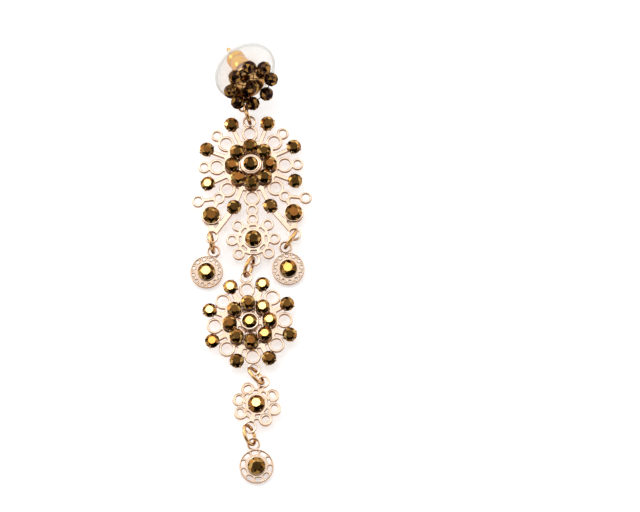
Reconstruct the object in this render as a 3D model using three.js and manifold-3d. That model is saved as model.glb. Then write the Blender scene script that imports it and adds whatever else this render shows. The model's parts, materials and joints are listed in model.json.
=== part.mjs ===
import * as THREE from "three";
import { mergeVertices } from "three/addons/utils/BufferGeometryUtils.js";
import Module from "manifold-3d";

// A chandelier earring lying face up on a flat surface: a beaded ear stud with its post and
// clutch, a large pierced plate with two side drops, a second plate, a flower link and an end
// disc, all joined by jump rings. Millimetres and degrees, +Z up, +Y towards the ear stud.

// Jump rings, and the lugs that they pass through. LUG_PLAY is the wire's play in its hole
const RING_WIRE = 0.65;
const RING_OUTER = 4.2;
const RING_SEGMENTS = 14;
const WIRE_SIDES = 6;
const LUG_PLAY = 0.5;
const LUG_WALL = 0.38;
const LUG_THICKNESS = 0.4;

// How far fused shapes run into each other
const WELD = 0.25;

// Cast plates and discs
const PLATE_THICKNESS = 0.7;
const ROUND_SIDES = 10;
const SMALL_SIDES = 10;
const SLOT_SIDES = 8;
const HOLE_SIDES = 6;
const HUB_SIDES = 20;

// Rings, petals, lobes and stones all stand in eights round a centre
const FOLD = 8;
const EIGHTH = 360 / FOLD;
const UP = 90;
const DOWN = -90;

// Cut stones. The cut is given as shares of the stone's diameter
const STONE_SIDES = 8;
const CUT = { table: 0.52, crown: 0.17, girdle: 0.05, pavilion: 0.3 };
const SEAT_GAP = 0.1;
const CUP_INSET = 0.15;
const CUP_DROP = 0.27;
const BEZEL_WALL = 0.28;
const CENTRE_STONE = 2.8;
const OUTER_STONE = 2.6;
const INNER_STONE = 2.5;
const LARGE_STONE = 3.1;
const FLOWER_STONE = 3;
const OUTER_GIRDLE = 0.6;
const INNER_GIRDLE = 1.3;
const LARGE_GIRDLE = 0.75;

// Main plate
const MAIN = {
  ringCircle: 6.12,
  ringOuter: 1.48,
  ringBore: 1.08,
  tipOuter: 1.07,
  tipBore: 0.74,
  stoneCircle: 8.5,
  innerCircle: 3.42,
  stemWidth: 0.75,
  bezelOuter: 2,
};
const ARM = { x: 9.7, y: -6.4, outer: 1.15, bore: 0.78, width: 0.6 };
const SIDE_STONE = { x: 7.4, y: -9.3 };
const SIDE_LUG = { x: 7.45, y: -13.2 };
const LEG_WIDTH = 1;
const LOWER_FLOWER = {
  drop: 13.95,
  petalCircle: 3.8,
  petalOuter: 1.08,
  petalBore: 0.74,
  slotCircle: 2.3,
  slotLength: 1.2,
  slotWidth: 0.4,
};

// Second plate
const SECOND = {
  ringCircle: 6.25,
  ringOuter: 1.46,
  ringBore: 1.12,
  stoneCircle: 7.5,
  innerCircle: 3.58,
  stemWidth: 0.9,
  holeCircle: 1.98,
  holeBore: 0.22,
};

// Flower link
const FLOWER = {
  hub: 2.9,
  lobeCircle: 3.25,
  lobeOuter: 1.22,
  lobeSlotLength: 1,
  lobeSlotWidth: 0.55,
  slotCircle: 2.25,
  slotLength: 1.1,
  slotWidth: 0.4,
  lugCircle: 4.35,
  neckWidth: 0.9,
};

// Round drops: a disc round one large stone, pierced by a ring of openings
const SIDE_DISC = { outer: 2.95, openings: 12, openingLength: 0.5, openingWidth: 0.5 };
const END_DISC = { outer: 3.08, openings: 10, openingLength: 1, openingWidth: 0.62 };

// Ear stud
const POST_RADIUS = 0.4;
const POST_LENGTH = 11;
const GROOVE = { fromTip: 1.6, length: 0.5, depth: 0.1 };
const PAD_RADIUS = 3.4;
const PAD_THICKNESS = 0.6;
const PAD_SHIFT = 0.8;
const BEAD_SHIFT = 0.2;
const PAD_LUG_REACH = 5.2;
const PAD_LUG_TURN = 24;
const PAD_NECK_WIDTH = 1.1;
const POST_HEADING = 28;
const BEAD = 2.6;
const BEAD_ROWS = 6;
const BEAD_CIRCLE = 3.95;
const BEAD_COUNT = 8;
const BEAD_START = 33;
const BEAD_GAP = 0.12;
const CENTRE_BEAD_LIFT = 0.55;

// Clutch
const CLUTCH_RADIUS = 6;
const CLUTCH_THICKNESS = 1;
const CLUTCH_RIM = 0.5;
const CLUTCH_TO_PAD = 2.2;
const CLUTCH_SIDES = 24;
const BARREL_RADIUS = 1.7;
const BARREL_LENGTH = 4.6;
const BARREL_NECK = 1.1;
const BARREL_DOME = 0.5;
const POST_CLEARANCE = 0.2;
const NECK_CLEARANCE = 0.1;

// How the earring lies. rise is the angle at which a ring's wire meets its two lugs, pull the
// share of the play by which the lugs are drawn apart (pushed together where it is negative),
// heading the way from the upper lug to the lower one, lean the ring's sideways lean.
const LINKS = {
  jump_ring_top: { rise: 14, pull: -0.4, heading: -70, lean: 4 },
  jump_ring_left: { rise: 38, pull: 0, heading: -82, lean: 8 },
  jump_ring_right: { rise: 33, pull: 0, heading: -123, lean: -8 },
  jump_ring_middle: { rise: 26, pull: 0.4, heading: -114, lean: 10 },
  jump_ring_lower: { rise: 38, pull: 0, heading: -54, lean: 26 },
  jump_ring_end: { rise: 30, pull: 0.1, heading: -78, lean: 30 },
};
const TURN = { main: 2, second: 5, flower: -15, left: -19, right: 7, end: 7 };

const rad = THREE.MathUtils.degToRad;
const half = PLATE_THICKNESS / 2;
const ringMean = (RING_OUTER - RING_WIRE) / 2;
const lugBore = RING_WIRE / 2 + LUG_PLAY;
const lugOuter = lugBore + LUG_WALL;
const tipCircle = MAIN.ringCircle + MAIN.ringOuter + MAIN.tipOuter - WELD;

const wasm = await Module();
wasm.setup();

// Solids

function solid(geometry) {
  const bare = geometry.clone();
  bare.deleteAttribute("normal");
  bare.deleteAttribute("uv");
  const merged = mergeVertices(bare);
  return new wasm.Manifold(
    new wasm.Mesh({
      numProp: 3,
      vertProperties: merged.attributes.position.array,
      triVerts: new Uint32Array(merged.index.array),
    }),
  );
}

function joined(geometries) {
  return geometries.map(solid).reduce((all, next) => all.add(next));
}

function pierced(body, cuts) {
  return cuts.length ? body.subtract(joined(cuts)) : body;
}

function geometryOf(manifold) {
  const { vertProperties, triVerts } = manifold.getMesh();
  const geometry = new THREE.BufferGeometry();
  geometry.setAttribute("position", new THREE.BufferAttribute(vertProperties, 3));
  geometry.setIndex(new THREE.BufferAttribute(triVerts, 1));
  geometry.computeVertexNormals();
  return geometry;
}

// Shapes

function polar(radius, degrees) {
  return { x: radius * Math.cos(rad(degrees)), y: radius * Math.sin(rad(degrees)) };
}

function offset(point, radius, degrees) {
  const step = polar(radius, degrees);
  return { x: point.x + step.x, y: point.y + step.y };
}

function around(count, startDegrees = 0) {
  return Array.from({ length: count }, (_, i) => startDegrees + (360 / count) * i);
}

function disc(point, radius, low, high, sides) {
  return new THREE.CylinderGeometry(radius, radius, high - low, sides)
    .rotateX(Math.PI / 2)
    .translate(point.x, point.y, (low + high) / 2);
}

function plateDisc(point, radius, sides = ROUND_SIDES) {
  return disc(point, radius, -half, half, sides);
}

function lugDisc(point) {
  return disc(point, lugOuter, -LUG_THICKNESS / 2, LUG_THICKNESS / 2, ROUND_SIDES);
}

function bore(point, radius, sides = ROUND_SIDES) {
  return disc(point, radius, -PLATE_THICKNESS, PLATE_THICKNESS, sides);
}

function bar(from, to, width, thickness = PLATE_THICKNESS) {
  const length = Math.hypot(to.x - from.x, to.y - from.y);
  return new THREE.BoxGeometry(length, width, thickness)
    .rotateZ(Math.atan2(to.y - from.y, to.x - from.x))
    .translate((from.x + to.x) / 2, (from.y + to.y) / 2, 0);
}

// An oval opening whose long side lies across the radius at the given angle.
function slot(centre, radius, degrees, length, width) {
  const point = offset(centre, radius, degrees);
  return new THREE.CylinderGeometry(width / 2, width / 2, 2 * PLATE_THICKNESS, SLOT_SIDES)
    .rotateX(Math.PI / 2)
    .scale(1, length / width, 1)
    .rotateZ(rad(degrees))
    .translate(point.x, point.y, 0);
}

// A profile of [radius, height] pairs turned round the Z axis.
function turned(profile, sides) {
  const points = profile.map(([x, y]) => new THREE.Vector2(x, y));
  return new THREE.LatheGeometry(points, sides).rotateX(Math.PI / 2);
}

// Stones and their seats

function stoneShape(diameter, grow = 0) {
  const radius = diameter / 2 + grow;
  const tableHeight = (CUT.girdle + CUT.crown) * diameter;
  const profile = [
    [0, -CUT.pavilion * diameter - grow],
    [radius, -grow],
    [radius, CUT.girdle * diameter],
    [CUT.table * radius, tableHeight],
    [0, tableHeight],
  ];
  return turned(profile, STONE_SIDES);
}

function stoneAt(point, diameter, girdle, grow = 0) {
  return stoneShape(diameter, grow).translate(point.x, point.y, girdle);
}

// A claw cup under the stone's girdle: the body to add and the pocket to cut.
function cup(point, diameter, girdle) {
  return {
    body: disc(point, diameter / 2 - CUP_INSET, -half, girdle - CUP_DROP, STONE_SIDES),
    pocket: stoneAt(point, diameter, girdle, SEAT_GAP),
  };
}

// A bezel that stands round the stone's girdle.
function bezel(point, diameter, girdle, outer = diameter / 2 + BEZEL_WALL) {
  return {
    body: disc(point, outer, -half, girdle + CUT.girdle * diameter, ROUND_SIDES),
    pocket: stoneAt(point, diameter, girdle, SEAT_GAP),
  };
}

// Materials

const FINISH = {
  roseGold: { color: 0xe8c4b0, metalness: 1, roughness: 0.3 },
  gold: { color: 0xd8a860, metalness: 1, roughness: 0.25 },
  crystal: { color: 0x5c3d17, metalness: 0.85, roughness: 0.15 },
  bead: { color: 0x3b2a18, metalness: 0.8, roughness: 0.2 },
  clear: { color: 0xf2f2f2, metalness: 0, roughness: 0.1, transparent: true, opacity: 0.4 },
};

function mesh(name, geometry, finish) {
  const made = new THREE.Mesh(geometry, new THREE.MeshStandardMaterial(FINISH[finish]));
  made.name = name;
  return made;
}

function stoneMesh(name, point, diameter, girdle) {
  const made = mesh(name, stoneShape(diameter), "crystal");
  made.position.set(point.x, point.y, girdle);
  return made;
}

// A ring of stones, side by side, fused to the band that carries them.
function stoneField(name, circle, diameter) {
  const low = half + SEAT_GAP;
  const high = INNER_GIRDLE - CUP_DROP;
  const inner = circle - diameter / 2 + CUP_INSET;
  const outer = circle + diameter / 2 - CUP_INSET;
  const section = [
    [inner, low],
    [outer, low],
    [outer, high],
    [inner, high],
    [inner, low],
  ];
  const stones = around(FOLD).map((a) => stoneAt(polar(circle, a), diameter, INNER_GIRDLE));
  return mesh(name, geometryOf(joined([turned(section, HUB_SIDES), ...stones])), "crystal");
}

function castPlate(name, bodies, bores, seats) {
  const body = joined([...bodies, ...seats.map((seat) => seat.body)]);
  const cuts = [...bores, ...seats.map((seat) => seat.pocket)];
  return mesh(name, geometryOf(pierced(body, cuts)), "roseGold");
}

// The stems that carry a plate's outer stones.
function stems(angles, { innerCircle, stoneCircle, stemWidth }) {
  return angles.map((a) => bar(polar(innerCircle, a), polar(stoneCircle, a), stemWidth));
}

// Pieces. Each returns its group and its lugs, in its own frame.

function mainPlate() {
  const centre = { x: 0, y: 0 };
  const ringAngles = around(FOLD, UP);
  const stoneAngles = around(FOLD, EIGHTH / 2);
  const flower = { x: 0, y: -LOWER_FLOWER.drop };
  const petalAngles = around(FOLD, DOWN);
  const lugs = {
    top: polar(tipCircle, UP),
    left: { x: -SIDE_LUG.x, y: SIDE_LUG.y },
    right: SIDE_LUG,
    bottom: offset(flower, LOWER_FLOWER.petalCircle, DOWN),
  };

  const tips = ringAngles.filter((a) => a !== UP).map((a) => polar(tipCircle, a));
  const rings = ringAngles.map((a) => polar(MAIN.ringCircle, a));
  const petals = petalAngles
    .filter((a) => a !== DOWN)
    .map((a) => offset(flower, LOWER_FLOWER.petalCircle, a));
  const outerStones = stoneAngles.map((a) => polar(MAIN.stoneCircle, a));

  const bodies = [
    plateDisc(centre, MAIN.ringCircle - MAIN.ringOuter + WELD, HUB_SIDES),
    ...rings.map((p) => plateDisc(p, MAIN.ringOuter)),
    ...tips.map((p) => plateDisc(p, MAIN.tipOuter, SMALL_SIDES)),
    ...stems(stoneAngles, MAIN),
    plateDisc(flower, LOWER_FLOWER.petalCircle - LOWER_FLOWER.petalOuter + WELD, HUB_SIDES),
    ...petals.map((p) => plateDisc(p, LOWER_FLOWER.petalOuter, SMALL_SIDES)),
    ...Object.values(lugs).map((p) => lugDisc(p)),
  ];
  const bores = [
    ...rings.map((p) => bore(p, MAIN.ringBore)),
    ...tips.map((p) => bore(p, MAIN.tipBore, SMALL_SIDES)),
    ...petals.map((p) => bore(p, LOWER_FLOWER.petalBore, SMALL_SIDES)),
    ...Object.values(lugs).map((p) => bore(p, lugBore)),
    ...petalAngles.map((a) =>
      slot(flower, LOWER_FLOWER.slotCircle, a, LOWER_FLOWER.slotLength, LOWER_FLOWER.slotWidth),
    ),
  ];
  const seats = [
    bezel(centre, CENTRE_STONE, INNER_GIRDLE, MAIN.bezelOuter),
    bezel(flower, FLOWER_STONE, LARGE_GIRDLE),
    ...outerStones.map((p) => cup(p, OUTER_STONE, OUTER_GIRDLE)),
  ];

  const group = new THREE.Group();
  const sides = { left: -1, right: 1 };
  for (const [side, sign] of Object.entries(sides)) {
    const stone = { x: sign * SIDE_STONE.x, y: SIDE_STONE.y };
    const arm = { x: sign * ARM.x, y: ARM.y };
    const tip = polar(tipCircle, DOWN + sign * EIGHTH);
    const knee = polar(MAIN.stoneCircle, DOWN + (sign * EIGHTH) / 2);
    bodies.push(
      plateDisc(arm, ARM.outer),
      bar(tip, arm, ARM.width),
      bar(tip, stone, ARM.width),
      bar(knee, lugs[side], LEG_WIDTH),
      bar(stone, lugs[side], LEG_WIDTH),
    );
    bores.push(bore(arm, ARM.bore));
    seats.push(bezel(stone, LARGE_STONE, LARGE_GIRDLE));
    group.add(stoneMesh("main_large_stone_" + side, stone, LARGE_STONE, LARGE_GIRDLE));
  }

  group.add(
    castPlate("main_plate", bodies, bores, seats),
    stoneMesh("main_centre_stone", centre, CENTRE_STONE, INNER_GIRDLE),
    stoneField("main_inner_stones", MAIN.innerCircle, INNER_STONE),
    stoneMesh("lower_flower_stone", flower, FLOWER_STONE, LARGE_GIRDLE),
    ...outerStones.map((p, i) =>
      stoneMesh("main_outer_stone_" + (i + 1), p, OUTER_STONE, OUTER_GIRDLE),
    ),
  );
  return { group, lugs };
}

function secondPlate() {
  const centre = { x: 0, y: 0 };
  const rings = around(FOLD).map((a) => polar(SECOND.ringCircle, a));
  const stoneAngles = around(FOLD, EIGHTH / 2);
  const outerStones = stoneAngles.map((a) => polar(SECOND.stoneCircle, a));
  const reach = SECOND.ringCircle + SECOND.ringOuter + lugOuter - WELD;
  const lugs = { top: { x: 0, y: reach }, bottom: { x: 0, y: -reach } };

  const bodies = [
    plateDisc(centre, SECOND.ringCircle - SECOND.ringOuter + WELD, HUB_SIDES),
    ...rings.map((p) => plateDisc(p, SECOND.ringOuter)),
    ...stems(stoneAngles, SECOND),
    ...Object.values(lugs).map((p) => lugDisc(p)),
  ];
  const bores = [
    ...rings.map((p) => bore(p, SECOND.ringBore)),
    ...Object.values(lugs).map((p) => bore(p, lugBore)),
    ...stoneAngles.map((a) => bore(polar(SECOND.holeCircle, a), SECOND.holeBore, HOLE_SIDES)),
  ];
  const seats = [
    bezel(centre, CENTRE_STONE, INNER_GIRDLE),
    ...outerStones.map((p) => cup(p, OUTER_STONE, OUTER_GIRDLE)),
  ];

  const group = new THREE.Group();
  group.add(
    castPlate("second_plate", bodies, bores, seats),
    stoneMesh("second_centre_stone", centre, CENTRE_STONE, INNER_GIRDLE),
    stoneField("second_inner_stones", SECOND.innerCircle, INNER_STONE),
    ...outerStones.map((p, i) =>
      stoneMesh("second_outer_stone_" + (i + 1), p, OUTER_STONE, OUTER_GIRDLE),
    ),
  );
  return { group, lugs };
}

function flowerLink() {
  const centre = { x: 0, y: 0 };
  const lobeAngles = around(FOLD, DOWN).filter((a) => a !== DOWN && a !== UP);
  const lugs = { top: polar(FLOWER.lugCircle, UP), bottom: polar(FLOWER.lugCircle, DOWN) };
  const bodies = [
    plateDisc(centre, FLOWER.hub, HUB_SIDES),
    ...lobeAngles.map((a) => plateDisc(polar(FLOWER.lobeCircle, a), FLOWER.lobeOuter)),
    ...Object.values(lugs).map((p) => bar(centre, p, FLOWER.neckWidth)),
    ...Object.values(lugs).map((p) => lugDisc(p)),
  ];
  const bores = [
    ...Object.values(lugs).map((p) => bore(p, lugBore)),
    ...lobeAngles.map((a) =>
      slot(centre, FLOWER.lobeCircle, a, FLOWER.lobeSlotLength, FLOWER.lobeSlotWidth),
    ),
    ...around(FOLD, EIGHTH / 2).map((a) =>
      slot(centre, FLOWER.slotCircle, a, FLOWER.slotLength, FLOWER.slotWidth),
    ),
  ];
  const group = new THREE.Group();
  group.add(
    castPlate("flower_link", bodies, bores, [cup(centre, FLOWER_STONE, LARGE_GIRDLE)]),
    stoneMesh("flower_stone", centre, FLOWER_STONE, LARGE_GIRDLE),
  );
  return { group, lugs };
}

function roundDrop(discName, stoneName, sizes) {
  const centre = { x: 0, y: 0 };
  const seat = bezel(centre, LARGE_STONE, LARGE_GIRDLE);
  const lug = { x: 0, y: sizes.outer + lugOuter - WELD };
  const seatOuter = LARGE_STONE / 2 + BEZEL_WALL;
  const openingCircle = (seatOuter + sizes.outer) / 2;
  const bodies = [plateDisc(centre, sizes.outer, HUB_SIDES), lugDisc(lug)];
  const bores = [
    bore(lug, lugBore),
    ...around(sizes.openings, UP).map((a) =>
      slot(centre, openingCircle, a, sizes.openingLength, sizes.openingWidth),
    ),
  ];
  const group = new THREE.Group();
  group.add(
    castPlate(discName, bodies, bores, [seat]),
    stoneMesh(stoneName, centre, LARGE_STONE, LARGE_GIRDLE),
  );
  return { group, lugs: { top: lug }, reach: lug.y + sizes.outer };
}

// The stud stands in its own frame: the post runs along -Z from the pad, beads in front on +Z.
function earStud() {
  const centre = { x: -PAD_SHIFT, y: 0 };
  const lug = offset(centre, PAD_LUG_REACH, DOWN - PAD_LUG_TURN);
  const grooveTop = -POST_LENGTH + GROOVE.fromTip;
  const postProfile = [
    [0, -POST_LENGTH],
    [POST_RADIUS, -POST_LENGTH],
    [POST_RADIUS, grooveTop - GROOVE.length],
    [POST_RADIUS - GROOVE.depth, grooveTop - GROOVE.length / 2],
    [POST_RADIUS, grooveTop],
    [POST_RADIUS, PAD_THICKNESS / 2],
    [0, PAD_THICKNESS / 2],
  ];
  const body = joined([
    turned(postProfile, ROUND_SIDES),
    disc(centre, PAD_RADIUS, 0, PAD_THICKNESS, HUB_SIDES),
    bar(centre, lug, PAD_NECK_WIDTH, LUG_THICKNESS).translate(0, 0, PAD_THICKNESS / 2),
    lugDisc(lug).translate(0, 0, PAD_THICKNESS / 2),
  ]);
  const lugCut = disc(lug, lugBore, -PAD_THICKNESS, 2 * PAD_THICKNESS, ROUND_SIDES);
  const group = new THREE.Group();
  group.add(mesh("ear_post", geometryOf(pierced(body, [lugCut])), "gold"));

  const lift = PAD_THICKNESS + BEAD_GAP + BEAD / 2;
  const beadMiddle = { x: centre.x, y: centre.y + BEAD_SHIFT };
  const places = around(BEAD_COUNT, BEAD_START).map((a) => ({
    ...offset(beadMiddle, BEAD_CIRCLE, a),
    z: lift,
  }));
  places.push({ ...beadMiddle, z: lift + CENTRE_BEAD_LIFT });
  places.forEach((place, i) => {
    const bead = new THREE.SphereGeometry(BEAD / 2, SMALL_SIDES, BEAD_ROWS);
    const made = mesh("bead_" + (i + 1), bead, "bead");
    made.position.set(place.x, place.y, place.z);
    group.add(made);
  });
  group.add(...clutch());
  return { group, lugs: { bottom: new THREE.Vector3(lug.x, lug.y, PAD_THICKNESS / 2) } };
}

// The clutch: a clear disc on the neck of a metal barrel, free to slide on the post.
function clutch() {
  const front = -CLUTCH_TO_PAD;
  const back = front - CLUTCH_THICKNESS;
  const tube = POST_RADIUS + POST_CLEARANCE;
  const hole = BARREL_NECK + NECK_CLEARANCE;
  const discProfile = [
    [hole, back],
    [CLUTCH_RADIUS - CLUTCH_RIM, back],
    [CLUTCH_RADIUS, (front + back) / 2],
    [CLUTCH_RADIUS - CLUTCH_RIM, front],
    [hole, front],
    [hole, back],
  ];
  const barrelTop = back - NECK_CLEARANCE;
  const barrelEnd = barrelTop - BARREL_LENGTH;
  const barrelProfile = [
    [tube, front],
    [tube, barrelEnd],
    [BARREL_RADIUS - BARREL_DOME, barrelEnd],
    [BARREL_RADIUS, barrelEnd + BARREL_DOME],
    [BARREL_RADIUS, barrelTop],
    [BARREL_NECK, barrelTop],
    [BARREL_NECK, front],
    [tube, front],
  ];
  return [
    mesh("clutch_disc", turned(discProfile, CLUTCH_SIDES), "clear"),
    mesh("clutch_barrel", turned(barrelProfile, ROUND_SIDES), "gold"),
  ];
}

// Assembly

const pieces = {
  main: mainPlate(),
  second: secondPlate(),
  flower: flowerLink(),
  left: roundDrop("side_disc_left", "side_stone_left", SIDE_DISC),
  right: roundDrop("side_disc_right", "side_stone_right", SIDE_DISC),
  end: roundDrop("end_disc", "end_stone", END_DISC),
};
const earring = new THREE.Group();

function spacing(link) {
  return 2 * (ringMean * Math.cos(rad(link.rise)) + link.pull * LUG_PLAY);
}

// The plates lie at the height at which the most stretched ring stands on the surface.
const lying = LINKS.jump_ring_middle;
const plateHeight =
  ringMean * (1 - Math.sin(rad(lying.rise))) * Math.cos(rad(lying.lean)) + RING_WIRE / 2;

function lugPoint(piece, name) {
  const lug = piece.lugs[name];
  const point = new THREE.Vector3(lug.x, lug.y, lug.z || 0);
  piece.group.updateMatrixWorld(true);
  return point.applyMatrix4(piece.group.matrixWorld);
}

function seatLug(piece, name, point) {
  const now = lugPoint(piece, name);
  piece.group.position.add(point.clone().sub(now));
}

function jumpRing(name, from, to) {
  const link = LINKS[name];
  const along = to.clone().sub(from).normalize();
  const up = new THREE.Vector3(0, 0, 1).addScaledVector(along, -along.z).normalize();
  up.applyAxisAngle(along, rad(link.lean));
  const centre = from.clone().add(to).multiplyScalar(0.5);
  centre.addScaledVector(up, ringMean * Math.sin(rad(link.rise)));
  const ring = mesh(
    name,
    new THREE.TorusGeometry(ringMean, RING_WIRE / 2, WIRE_SIDES, RING_SEGMENTS),
    "gold",
  );
  const across = along.clone().cross(up);
  ring.quaternion.setFromRotationMatrix(new THREE.Matrix4().makeBasis(along, up, across));
  ring.position.copy(centre);
  earring.add(ring);
}

// Hangs a piece by its top lug from a lug that is already placed.
function hang(piece, upper, upperLug, linkName, turn) {
  const link = LINKS[linkName];
  const from = lugPoint(upper, upperLug);
  const step = polar(spacing(link), link.heading);
  const to = from.clone().add(new THREE.Vector3(step.x, step.y, 0));
  const tilt = piece.reach ? Math.asin((plateHeight - half) / piece.reach) : 0;
  piece.group.rotation.set(tilt, 0, rad(turn), "ZXY");
  seatLug(piece, "top", to);
  earring.add(piece.group);
  jumpRing(linkName, from, to);
}

pieces.main.group.position.z = plateHeight;
pieces.main.group.rotation.z = rad(TURN.main);
earring.add(pieces.main.group);
hang(pieces.left, pieces.main, "left", "jump_ring_left", TURN.left);
hang(pieces.right, pieces.main, "right", "jump_ring_right", TURN.right);
hang(pieces.second, pieces.main, "bottom", "jump_ring_middle", TURN.second);
hang(pieces.flower, pieces.second, "bottom", "jump_ring_lower", TURN.flower);
hang(pieces.end, pieces.flower, "bottom", "jump_ring_end", TURN.end);

// The stud leans on the tip of its post and the rim of its clutch, which sets the post's pitch.
const clutchMiddle = POST_LENGTH - CLUTCH_TO_PAD - CLUTCH_THICKNESS / 2;
const pitch = Math.atan2(CLUTCH_RADIUS - POST_RADIUS, clutchMiddle);
const stud = earStud();
stud.group.rotation.set(Math.PI / 2 - pitch, 0, rad(POST_HEADING), "ZXY");
const tip = new THREE.Vector3(0, -POST_RADIUS, -POST_LENGTH).applyEuler(stud.group.rotation);
stud.group.position.z = -tip.z;

// Its lug keeps that height, and the top ring reaches from it to the main plate.
const topLug = lugPoint(pieces.main, "top");
const studLug = lugPoint(stud, "bottom");
const topSpan = spacing(LINKS.jump_ring_top);
const level = Math.sqrt(topSpan ** 2 - (studLug.z - topLug.z) ** 2);
const topStep = polar(level, LINKS.jump_ring_top.heading);
seatLug(stud, "bottom", new THREE.Vector3(topLug.x - topStep.x, topLug.y - topStep.y, studLug.z));
earring.add(stud.group);
jumpRing("jump_ring_top", lugPoint(stud, "bottom"), topLug);

// The origin is under the middle of the whole earring, on the surface it lies on.
const bounds = new THREE.Box3().setFromObject(earring, true);
const middle = bounds.getCenter(new THREE.Vector3());
earring.position.set(-middle.x, -middle.y, -bounds.min.z);

export default earring;
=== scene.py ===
"""The looks of a chandelier earring that lies face up on a pale floor.

Shapes are worked out in millimetres in the frame of each plate, disc or stud, which is found
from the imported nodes, and are then placed in the shared frame in metres.
"""

import json
import math
import random

import bmesh
import bpy
import numpy as np
from mathutils import Matrix, Vector

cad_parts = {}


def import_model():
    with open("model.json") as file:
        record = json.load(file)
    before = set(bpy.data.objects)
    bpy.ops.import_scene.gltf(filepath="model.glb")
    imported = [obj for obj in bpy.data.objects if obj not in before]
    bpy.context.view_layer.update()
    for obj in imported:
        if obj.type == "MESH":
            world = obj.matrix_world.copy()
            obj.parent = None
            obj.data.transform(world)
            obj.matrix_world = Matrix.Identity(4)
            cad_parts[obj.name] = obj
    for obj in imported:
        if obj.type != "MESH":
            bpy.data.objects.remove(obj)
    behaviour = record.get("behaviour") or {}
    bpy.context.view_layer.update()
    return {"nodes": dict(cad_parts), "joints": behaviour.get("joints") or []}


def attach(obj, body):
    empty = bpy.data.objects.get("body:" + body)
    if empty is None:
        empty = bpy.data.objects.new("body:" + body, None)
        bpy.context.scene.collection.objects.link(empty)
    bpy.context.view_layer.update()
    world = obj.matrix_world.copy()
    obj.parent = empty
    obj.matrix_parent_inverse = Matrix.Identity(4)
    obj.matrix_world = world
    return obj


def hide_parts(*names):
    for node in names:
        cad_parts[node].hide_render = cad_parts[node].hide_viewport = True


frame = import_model()
nodes = frame["nodes"]
rng = random.Random(7)

MM = 0.001
FOLD = 8
EIGHTH = 360 / FOLD
STONE_ANGLES = [EIGHTH * (i + 0.5) for i in range(FOLD)]
TOP = 90
BOTTOM = 270
UP = (0, 0, 1)

# Cast plates
PLATE = 0.7
EDGE = 0.13
FILLET = 0.22
LUG = {"outer": 1.2, "bore": 0.83, "thickness": 0.4, "round": 0.1, "shoulder": 0.08, "overlap": 0.25}
MAIN = {
    "hub": 4.89, "ring_circle": 6.12, "ring": 1.48, "bore": 1.02,
    "tip_circle": 8.42, "tip": 1.07, "tip_bore": 0.66,
    "inner_circle": 3.42, "stone_circle": 8.5, "stem": 0.75,
}
ARM = {"x": 9.7, "y": -6.4, "outer": 1.1, "bore": 0.71, "width": 0.6}
SIDE_STONE = {"x": 7.4, "y": -9.3}
SIDE_LUG = {"x": 7.45, "y": -13.2}
LEG_WIDTH = 1
LARGE_SEAT_WALL = 0.23
LOWER_FLOWER = {
    "drop": 13.95, "hub": 2.97, "petal_circle": 3.8, "petal": 1.08, "bore": 0.66,
    "slot_circle": 2.3, "slot_length": 1.2, "slot_width": 0.4,
}
SECOND = {
    "hub": 5.04, "ring_circle": 6.25, "ring": 1.46, "bore": 1.03,
    "inner_circle": 3.58, "stone_circle": 7.5, "stem": 0.9,
    "hole_circle": 1.98, "hole": 0.22, "lug_circle": 8.66,
}
FLOWER = {
    "hub": 2.9, "lobe_circle": 3.25, "lobe": 1.22, "lobe_slot_length": 1.4, "lobe_slot_width": 1.05,
    "slot_circle": 2.25, "slot_length": 1.1, "slot_width": 0.5, "lug_circle": 4.35, "neck": 0.9,
}
SIDE_DISC = {"outer": 2.95, "openings": 12, "slot_length": 0.5, "slot_width": 0.5, "slot_circle": 2.39}
END_DISC = {"outer": 3.06, "openings": 10, "slot_length": 1.15, "slot_width": 0.72, "slot_circle": 2.4}

# Raised rims run inside the edge of a disc or lobe, and filigree rings outside that of an opening
DISC_RIM = {"from": 0.24, "to": 0.03, "sunk": 0.1, "high": 0.12, "round": 0.08}
LOBE_RIM = {"from": 0.24, "to": 0.04, "sunk": 0.1, "high": 0.1, "round": 0.08}
FILIGREE = {"from": 0.02, "to": 0.2, "sunk": 0.1, "high": 0.1, "round": 0.07}
GRAIN = {"radius": 0.14, "out": 0.12, "up": 0.02}

# How finely the plates' outlines are followed
GRID = 0.1
FINE_GRID = 0.06
PROBE = {"reach": 22, "samples": 177, "near": 0.3, "margin": 0.6}
EDGE_STEPS = 3
SHORTEST_LOOP = 8
SHORTEST_SLOT = 0.01
FEWEST_POINTS = 12
TINY = 1e-6

# Stones. The cut is given as shares of the stone's diameter
CUT = {"table": 0.52, "star": 0.76, "crown": 0.17, "girdle": 0.05, "pavilion": 0.3}
STONES = {"centre": 2.8, "outer": 2.6, "inner": 2.5, "large": 3.1, "flower": 3.0}
GIRDLES = {"outer": 0.6, "inner": 1.3, "large": 0.75}

# How much fuller the cut stones are than their plain nodes
STONE_FULL = 1.01
INNER_FULL = 1.045

# Cups and bezels. Holes and the seat's depth are shares of the stone's radius
SEAT = {"hole": 0.5, "depth": 0.7, "floor": 0.12}
CUP = {"hole": 0.35, "taper": 0.22, "lip_inset": 0.08, "lip_drop": 0.16, "round": 0.05}
CLAWS = 4
CLAW_TURN = 45
THIN_BEZEL = {"wall": 0.12, "taper": 0.06, "lip": 0.04, "overlap": 0.02}
BEZEL = {
    "wall": 0.28, "lip": 0.12, "bevel": 0.12, "turned_in": 0.06, "turn": 0.1,
    "under": 0.16, "play": 0.03, "seat_drop": 0.05,
}
GROOVE = {"from_rim": 0.22, "from_stone": 0.24, "top": 0.14, "depth": 0.12, "least_wall": 0.5}
BEZEL_ROUND = 0.03
BEZEL_SIDES = 40
MAIN_BEZEL = 2.0
GALLERY = {"drop": 0.2, "hole": 0.55, "inset": 0.1, "sunk": 0.05, "claws_at": (0.75, 1.1)}
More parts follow.
